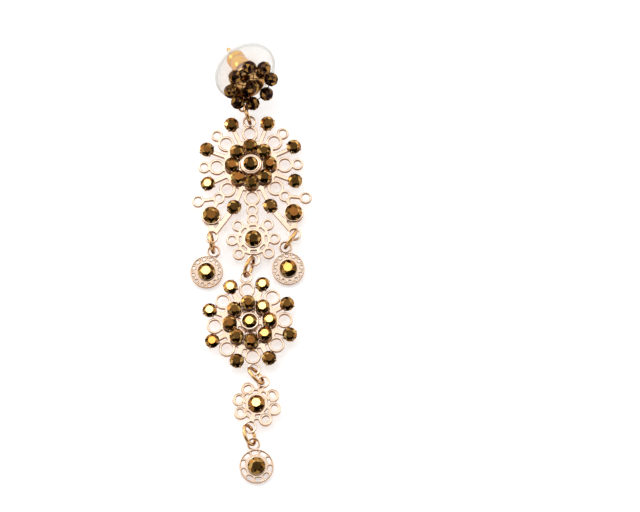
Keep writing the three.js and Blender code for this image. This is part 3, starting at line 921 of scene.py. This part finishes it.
def star(sizes, tips=()):
    """The solids and openings of a hub with a circle of rings, and a stem to each outer stone."""
    rings = [polar(sizes["ring_circle"], a) for a in around(FOLD)]
    solids = [round_field(0, 0, sizes["hub"])]
    solids += [round_field(*p, sizes["ring"]) for p in rings]
    solids += [round_field(*p, sizes["tip"]) for p in tips]
    for a in STONE_ANGLES:
        ends = *polar(sizes["inner_circle"], a), *polar(sizes["stone_circle"], a)
        solids.append(bar_field(*ends, sizes["stem"]))
    openings = [round_field(*p, sizes["bore"]) for p in rings]
    openings += [round_field(*p, sizes["tip_bore"]) for p in tips]
    return solids, openings


def cast(build, sizes, solids, openings, lugs):
    """A plate with its lugs, the cups of its outer stones and the seat of its inner ones."""
    plate(build, solids, openings + [lug_opening(*p) for p in lugs])
    for p in lugs:
        lug_ring(build, *p)
    for a in STONE_ANGLES:
        cup(build, *polar(sizes["stone_circle"], a), STONES["outer"], GIRDLES["outer"], a + CLAW_TURN)
    gallery(build, sizes["inner_circle"])


def main_plate():
    matrix = main_frame()
    build = Build(matrix)
    flower_y = -LOWER_FLOWER["drop"]
    tips = [polar(MAIN["tip_circle"], a) for a in around(FOLD) if a != TOP]
    petals = [polar(LOWER_FLOWER["petal_circle"], a) for a in around(FOLD) if a != BOTTOM]
    petals = [(x, y + flower_y) for x, y in petals]
    solids, openings = star(MAIN, tips)
    solids.append(round_field(0, flower_y, LOWER_FLOWER["hub"]))
    solids += [round_field(*p, LOWER_FLOWER["petal"]) for p in petals]
    openings += [round_field(*p, LOWER_FLOWER["bore"]) for p in petals]
    openings += slots(0, flower_y, LOWER_FLOWER, around(FOLD))
    lugs = [polar(MAIN["tip_circle"], TOP), (0, flower_y - LOWER_FLOWER["petal_circle"])]
    for side in (-1, 1):
        stone_at = (side * SIDE_STONE["x"], SIDE_STONE["y"])
        arm = (side * ARM["x"], ARM["y"])
        lug = (side * SIDE_LUG["x"], SIDE_LUG["y"])
        tip = polar(MAIN["tip_circle"], BOTTOM + side * EIGHTH)
        knee = polar(MAIN["stone_circle"], BOTTOM + side * EIGHTH / 2)
        solids += [
            round_field(*arm, ARM["outer"]),
            bar_field(*tip, *arm, ARM["width"]),
            bar_field(*tip, *stone_at, ARM["width"]),
            bar_field(*knee, *lug, LEG_WIDTH),
            bar_field(*stone_at, *lug, LEG_WIDTH),
            round_field(*stone_at, STONES["large"] / 2 + LARGE_SEAT_WALL),
        ]
        openings.append(round_field(*arm, ARM["bore"]))
        lugs.append(lug)
        thin_bezel(build, *stone_at, STONES["large"], GIRDLES["large"])
    cast(build, MAIN, solids, openings, lugs)
    bezel(build, 0, 0, STONES["centre"], GIRDLES["inner"], MAIN_BEZEL)
    thin_bezel(build, 0, flower_y, STONES["flower"], GIRDLES["large"])
    dress(build.object("main_plate_cast", ROSE), "earring", "rose_gold", "main_plate")
    stone("main_centre_stone", STONES["centre"])
    stone_ring("main_inner_stones", matrix, MAIN["inner_circle"])
    stone("lower_flower_stone", STONES["flower"])
    for side in ("left", "right"):
        stone("main_large_stone_" + side, STONES["large"])
    for i in range(FOLD):
        stone(f"main_outer_stone_{i + 1}", STONES["outer"])


def second_plate():
    matrix = second_frame()
    build = Build(matrix)
    solids, openings = star(SECOND)
    openings += [round_field(*polar(SECOND["hole_circle"], a), SECOND["hole"]) for a in STONE_ANGLES]
    lugs = [(0, SECOND["lug_circle"]), (0, -SECOND["lug_circle"])]
    cast(build, SECOND, solids, openings, lugs)
    bezel(build, 0, 0, STONES["centre"], GIRDLES["inner"], STONES["centre"] / 2 + BEZEL["wall"])
    dress(build.object("second_plate_cast", ROSE), "earring", "rose_gold", "second_plate")
    stone("second_centre_stone", STONES["centre"])
    stone_ring("second_inner_stones", matrix, SECOND["inner_circle"])
    for i in range(FOLD):
        stone(f"second_outer_stone_{i + 1}", STONES["outer"])


def flower_link():
    build = Build(flower_frame())
    lobes = [a for a in around(FOLD) if a not in (TOP, BOTTOM)]
    lugs = [(0, FLOWER["lug_circle"]), (0, -FLOWER["lug_circle"])]
    lobe_slot = (FLOWER["lobe_slot_length"], FLOWER["lobe_slot_width"])
    solids = [round_field(0, 0, FLOWER["hub"])]
    solids += [round_field(*polar(FLOWER["lobe_circle"], a), FLOWER["lobe"]) for a in lobes]
    solids += [bar_field(0, 0, *p, FLOWER["neck"]) for p in lugs]
    openings = [lug_opening(*p) for p in lugs]
    openings += [slot_field(0, 0, FLOWER["lobe_circle"], a, *lobe_slot) for a in lobes]
    openings += slots(0, 0, FLOWER, STONE_ANGLES)
    plate(build, solids, openings)
    for p in lugs:
        lug_ring(build, *p)
    inner, outer = (FLOWER["lobe"] - LOBE_RIM[end] for end in ("from", "to"))
    for a in lobes:
        raised_ring(build, *polar(FLOWER["lobe_circle"], a), inner, outer, LOBE_RIM)
    cup(build, 0, 0, STONES["flower"], GIRDLES["large"], CLAW_TURN)
    dress(build.object("flower_link_cast", ROSE), "earring", "rose_gold", "flower_link")
    stone("flower_stone", STONES["flower"])


def round_drop(disc, stone_node, sizes, filigree):
    """A pierced disc round one large stone, with a lug."""
    build = Build(drop_frame(disc, stone_node))
    lug_y = sizes["outer"] + LUG["outer"] - LUG["overlap"]
    angles = around(sizes["openings"], TOP)
    solids = [round_field(0, 0, sizes["outer"]), round_field(0, lug_y, LUG["outer"])]
    plate(build, solids, [lug_opening(0, lug_y), *slots(0, 0, sizes, angles)], grid=FINE_GRID)
    lug_ring(build, 0, lug_y)
    inner, outer = (sizes["outer"] - DISC_RIM[end] for end in ("from", "to"))
    raised_ring(build, 0, 0, inner, outer, DISC_RIM, 48)
    if filigree:
        inner, outer = (sizes["slot_width"] / 2 + FILIGREE[end] for end in ("from", "to"))
        for a in angles:
            raised_ring(build, *polar(sizes["slot_circle"], a), inner, outer, FILIGREE, 16)
        for a in around(sizes["openings"], TOP + 180 / sizes["openings"]):
            x, y = polar(sizes["slot_circle"] + GRAIN["out"], a)
            build.add(*ball(GRAIN["radius"]), place=at(x, y, PLATE / 2 + GRAIN["up"]))
    thin_bezel(build, 0, 0, STONES["large"], GIRDLES["large"])
    dress(build.object(disc + "_cast", ROSE), "earring", "rose_gold", disc)
    stone(stone_node, STONES["large"])


def jump_ring(node):
    """Round wire bent to a ring, with a fine seam where its ends meet."""
    points = points_of(node)
    centre = Vector(points.mean(0))
    spread = np.linalg.eigh(np.cov((points - points.mean(0)).T))
    normal = Vector(spread[1][:, 0])
    build = Build(piece_frame(centre, Vector((0, 0, 1)), normal))
    seam = RING["seam_degrees"]
    start = rng.uniform(*RING["seam_at"])
    last = RING["points"] - 1
    turns = [start + seam / 2 + (360 - seam) * i / last for i in range(RING["points"])]
    path = [(*polar(RING["mean"], a), 0) for a in turns]
    build.add(*tube(path, [RING["wire"]] * len(path), 12))
    dress(build.object(node + "_wire", GOLD), "earring", "gold", node)


def ear_post():
    """The post, the pad on its end and the lug under the pad."""
    build = Build(stud_frame())
    radius = POST["radius"]
    tip = -POST["length"]
    groove = tip + POST["groove"]
    profile = [(0, tip)]
    profile += [(radius * share, tip + up) for share, up in POST_TIP]
    profile += [
        (radius, groove - POST["groove_length"]),
        (radius - POST["groove_depth"], groove - POST["groove_length"] / 2),
        (radius, groove),
    ]
    profile += [(radius + out, z) for out, z in POST_FOOT]
    profile.append((0, POST_FOOT[-1][1]))
    build.add(*lathe(profile, 24))
    edge = [(PAD["radius"] - inset, up) for inset, up in PAD_EDGE]
    front_edge = [(r, PAD["thickness"] - z) for r, z in reversed(edge)]
    pad = [(0, 0), *edge, *front_edge, (0, PAD["thickness"])]
    build.add(*lathe(pad, 48), place=at(-PAD["shift"], 0))
    lug_way = BOTTOM - PAD["lug_turn"]
    x, y = polar(PAD["lug_reach"], lug_way)
    neck_x, neck_y = polar(PAD["lug_reach"] - LUG["bore"] - PAD["neck_gap"], lug_way)
    x -= PAD["shift"]
    solids = [
        bar_field(-PAD["shift"], 0, neck_x - PAD["shift"], neck_y, PAD["neck"]),
        round_field(x, y, LUG["outer"]),
    ]
    plate(build, solids, [round_field(x, y, LUG["bore"])], LUG["thickness"], PAD["thickness"] / 2)
    dress(build.object("ear_post_metal", GOLD), "earring", "gold", "ear_post")


def faceted_bead():
    """A round bead with four rows of three-sided facets, flat at both ends, where the thread enters."""
    points = []
    for latitude, shift in BEAD_ROWS:
        ring, z = polar(BEAD["radius"], latitude)
        points += [(*polar(ring, a), z) for a in around(FOLD, shift * EIGHTH)]
    work = bmesh.new()
    for p in points:
        work.verts.new(p)
    bmesh.ops.convex_hull(work, input=work.verts)
    flat = math.radians(BEAD_FLATNESS)
    bmesh.ops.dissolve_limit(work, angle_limit=flat, verts=work.verts, edges=work.edges)
    work.verts.index_update()
    found = [v.co.copy() for v in work.verts], [[v.index for v in f.verts] for f in work.faces]
    work.free()
    return found


def beads():
    """The beads, each strung the way the thread runs round the cluster, and the thread."""
    matrix = stud_frame()
    shape = faceted_bead()
    inverse = matrix.inverted()
    centres = [inverse @ Vector(points_of(f"bead_{i + 1}").mean(0)) for i in range(FOLD + 1)]
    middle = centres[-1]
    for i, centre in enumerate(centres):
        out = Vector((centre.x - middle.x, centre.y - middle.y, 0))
        along = Vector((-out.y, out.x, 0) if i < FOLD else MIDDLE_BEAD_WAY)
        turn = along.to_track_quat("Z", "X").to_matrix().to_4x4()
        spin = Matrix.Rotation(rng.uniform(0, math.tau), 4, "Z")
        build = Build(matrix @ Matrix.Translation(centre) @ turn @ spin)
        build.add(*shape, smooth=False)
        made = build.object(f"bead_{i + 1}_cut", BEADS, weld=0)
        tint_facets(made, BEAD_TINTS)
        dress(made, "earring", "bead", f"bead_{i + 1}")
    build = Build(matrix)
    radii = [THREAD["radius"]] * 3
    for i in range(FOLD):
        a, b = centres[i], centres[(i + 1) % FOLD]
        low = (a + b) / 2 - Vector((0, 0, THREAD["sag"]))
        build.add(*tube([a, low, b], radii, 8))
        inner = (a + middle) / 2
        inner.z = PAD["thickness"] - THREAD["sunk"]
        build.add(*tube([a, inner, middle], radii, 8))
    dress(build.object("bead_thread", CORD), "earring", "bead")


def clutch():
    """The clear disc on the neck of the barrel that slides on the post."""
    matrix = stud_frame()
    front = -CLUTCH["to_pad"]
    back = front - CLUTCH["thickness"]
    middle = (front + back) / 2
    hole = BARREL["neck"] + CLEARANCE["neck"]
    outer = CLUTCH["radius"]
    half = [
        (hole, back + HOLE_BEVEL),
        (hole + HOLE_BEVEL, back),
        (outer - CLUTCH["rim"], back),
        (outer - CLUTCH["rim"] * DISC_EDGE["bevel"], back + DISC_EDGE["bevel_depth"]),
        (outer - DISC_EDGE["belly"], middle - DISC_EDGE["belly_half"]),
        (outer, middle),
    ]
    disc = half + [(r, 2 * middle - z) for r, z in reversed(half[:-1])]
    build = Build(matrix)
    build.add(*lathe(disc + disc[:1], 96))
    dress(build.object("clutch_disc_clear", CLEAR), "ear_clutch", "clear_plastic", "clutch_disc")

    bore = POST["radius"] + CLEARANCE["post"]
    neck_end = front - BARREL_REACH
    top = back - CLEARANCE["neck"]
    end = top - BARREL["length"]
    radius, dome = BARREL["radius"], BARREL["dome"]
    barrel = [
        (bore, neck_end),
        (bore, end),
        (radius - dome, end),
        (radius - dome * BARREL_DOME["inset"], end + dome * BARREL_DOME["height"]),
        (radius, end + dome),
    ]
    barrel += [(radius - inset, end + up) for inset, up in BARREL_GROOVE]
    barrel += [
        (radius, top - BARREL_SHOULDER["length"]),
        (radius - BARREL_SHOULDER["inset"], top),
        (BARREL["neck"], top),
        (BARREL["neck"], neck_end),
    ]
    build = Build(matrix)
    build.add(*lathe(barrel + barrel[:1], 32))
    dress(build.object("clutch_barrel_gold", ORANGE), "ear_clutch", "gold", "clutch_barrel")


main_plate()
second_plate()
flower_link()
round_drop("side_disc_left", "side_stone_left", SIDE_DISC, True)
round_drop("side_disc_right", "side_stone_right", SIDE_DISC, True)
round_drop("end_disc", "end_stone", END_DISC, False)
for ring_name in ("top", "left", "right", "middle", "lower", "end"):
    jump_ring("jump_ring_" + ring_name)
ear_post()
beads()
clutch()


# Studio

def aimed(name, data, place, way):
    """A camera or a light that looks that way."""
    made = bpy.data.objects.new(name, data)
    made.location = place
    made.rotation_mode = "QUATERNION"
    made.rotation_quaternion = way.to_track_quat("-Z", "Y")
    bpy.context.scene.collection.objects.link(made)
    return made


def camera():
    """Looks down at about the photograph's angle, with the main stone at its place in the picture."""
    e = math.radians(ELEVATION)
    forward = Vector((0, math.cos(e), -math.sin(e)))
    up = Vector((0, math.sin(e), math.cos(e)))
    target = stone_frame("main_centre_stone", STONES["centre"])[0]
    target += Vector((1, 0, 0)) * (PHOTO[0] / 2 - STONE_PIXEL[0]) * PIXEL
    target -= up * (PHOTO[1] / 2 - STONE_PIXEL[1]) * PIXEL
    distance = PHOTO[0] * PIXEL / (SENSOR / LENS)
    data = bpy.data.cameras.new("camera")
    data.lens = LENS
    data.sensor_width = SENSOR
    data.clip_start = distance / CLIP
    data.clip_end = distance * CLIP
    bpy.context.scene.camera = aimed("camera", data, target - forward * distance, forward)


def floor():
    """A white light table, which keeps shadows faint."""
    made = Look("floor_white")
    made.give("Roughness", FLOOR["roughness"])
    made.give("Specular IOR Level", FLOOR["gloss"])
    made.give("Emission Strength", FLOOR["glow"])
    color = made.ramp(made.noise(*FLOOR["noise"]), FLOOR_TONES)
    made.drive("Base Color", color)
    made.drive("Emission Color", color)
    half = FLOOR["half"]
    corners = [(-half, -half, 0), (half, -half, 0), (half, half, 0), (-half, half, 0)]
    mesh = bpy.data.meshes.new("floor")
    mesh.from_pydata(corners, [], [(0, 1, 2, 3)])
    mesh.materials.append(made.material)
    plane = bpy.data.objects.new("floor", mesh)
    bpy.context.scene.collection.objects.link(plane)


def softbox(name, azimuth, elevation, size, power):
    """A square light that faces the earring from that direction."""
    a, e = math.radians(azimuth), math.radians(elevation)
    way = Vector((math.sin(a) * math.cos(e), math.cos(a) * math.cos(e), math.sin(e)))
    data = bpy.data.lights.new(name, "AREA")
    data.shape = "SQUARE"
    data.size = size
    data.energy = power
    aimed(name, data, way * LIGHT_DISTANCE, -way)


def world():
    """A white room that is dark behind the photographer, above a bright horizon."""
    made = bpy.data.worlds.new("studio")
    made.use_nodes = True
    room = Tree(made.node_tree)
    way = room.add("ShaderNodeTexCoord").outputs["Generated"]
    side = room.span(room.along(way, Vector(DARK_SIDE).normalized()), 0, 1, -1)
    walls = room.ramp(side, [(position, (gray, gray, gray)) for position, gray in ROOM], "EASE")
    horizon = room.span(room.along(way, UP), HORIZON["gray"], 0, HORIZON["full"], HORIZON["none"])
    background = made.node_tree.nodes["Background"]
    room.link(room.math("MAXIMUM", horizon, walls), background.inputs["Color"])
    bpy.context.scene.world = made


camera()
floor()
softbox("key", **KEY)
softbox("fill", **FILL)
world()
bpy.context.scene.view_settings.view_transform = "Standard"
